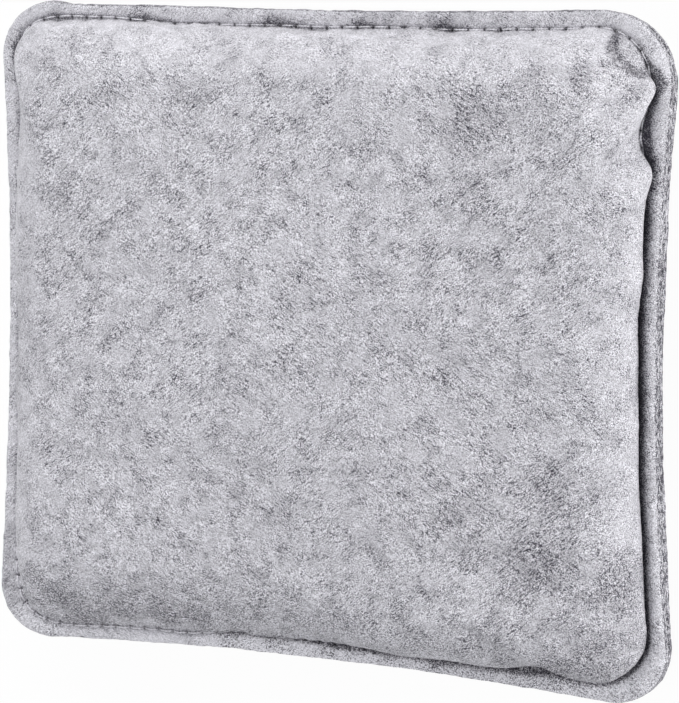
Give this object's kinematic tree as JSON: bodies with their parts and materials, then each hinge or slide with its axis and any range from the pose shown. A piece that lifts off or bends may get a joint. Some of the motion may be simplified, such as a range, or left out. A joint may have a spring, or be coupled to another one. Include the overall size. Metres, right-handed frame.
{
  "type": "needle felting pad",
  "caption": "Cushioned needle felting pad with crowned grey felt covers sewn face to face over a foam core, leaving a flat stitched rim.",
  "frame": {"origin": "middle of the flat that the pad rests on, on the outside of the back cover", "axes": "+X across the face to the right and +Y up the face as the picture shows it, +Z out of the needled face"},
  "size_m": [0.21, 0.2, 0.0395],
  "materials": {
    "felt": "matte",
    "foam": "matte",
    "thread": "satin"
  },
  "bodies": {
    "root": {"front_panel": "felt", "back_panel": "felt", "foam_core": "foam", "needle_thread": "thread", "bobbin_thread": "thread"}
  },
  "joints": []
}
